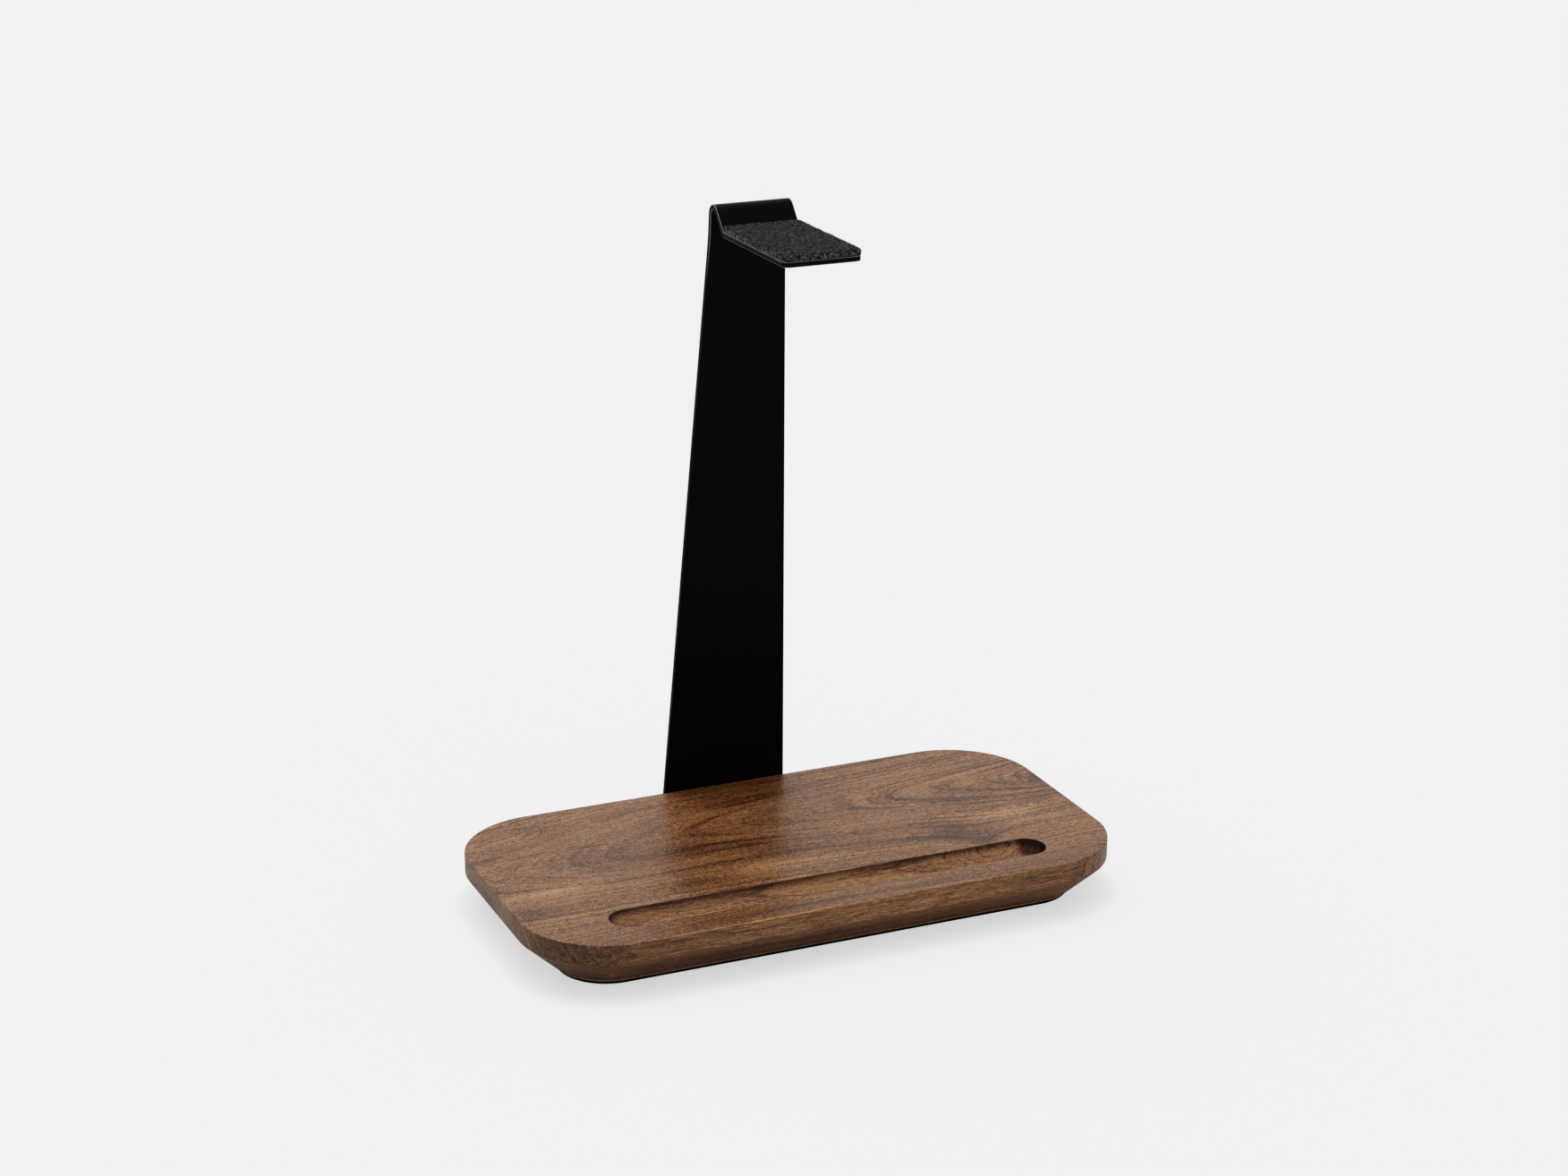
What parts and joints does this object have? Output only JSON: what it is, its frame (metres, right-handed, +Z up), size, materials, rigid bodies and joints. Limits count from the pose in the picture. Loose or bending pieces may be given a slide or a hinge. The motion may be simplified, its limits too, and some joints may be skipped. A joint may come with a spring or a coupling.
{
  "type": "headphone stand",
  "caption": "Desk headphone stand: bevelled walnut base with a pen groove, and a leaning bent-steel bracket that ends in a felt-topped seat for the headband.",
  "frame": {"origin": "on the desk plane, at the plan centre of the wooden base", "axes": "+X along the base's long side, -Y to the front where the pen groove is, +Z up"},
  "size_m": [0.235, 0.1289, 0.2613],
  "materials": {
    "walnut": "satin lacquer over open-pored walnut",
    "powder_coat": "fine-textured satin black powder coat",
    "felt": "charcoal wool felt, slightly fuzzy",
    "adhesive_film": "thin self-adhesive film",
    "rubber_sheet": "matte black non-slip sheet",
    "brass": "turned brass",
    "zinc_steel": "bright zinc plating"
  },
  "bodies": {
    "root": {"wooden_base": "walnut", "steel_bracket": "powder_coat", "felt_pad": "felt", "felt_adhesive": "adhesive_film", "base_pad": "rubber_sheet", "base_pad_adhesive": "adhesive_film", "threaded_inserts": "brass", "countersunk_screws": "zinc_steel"}
  },
  "joints": []
}
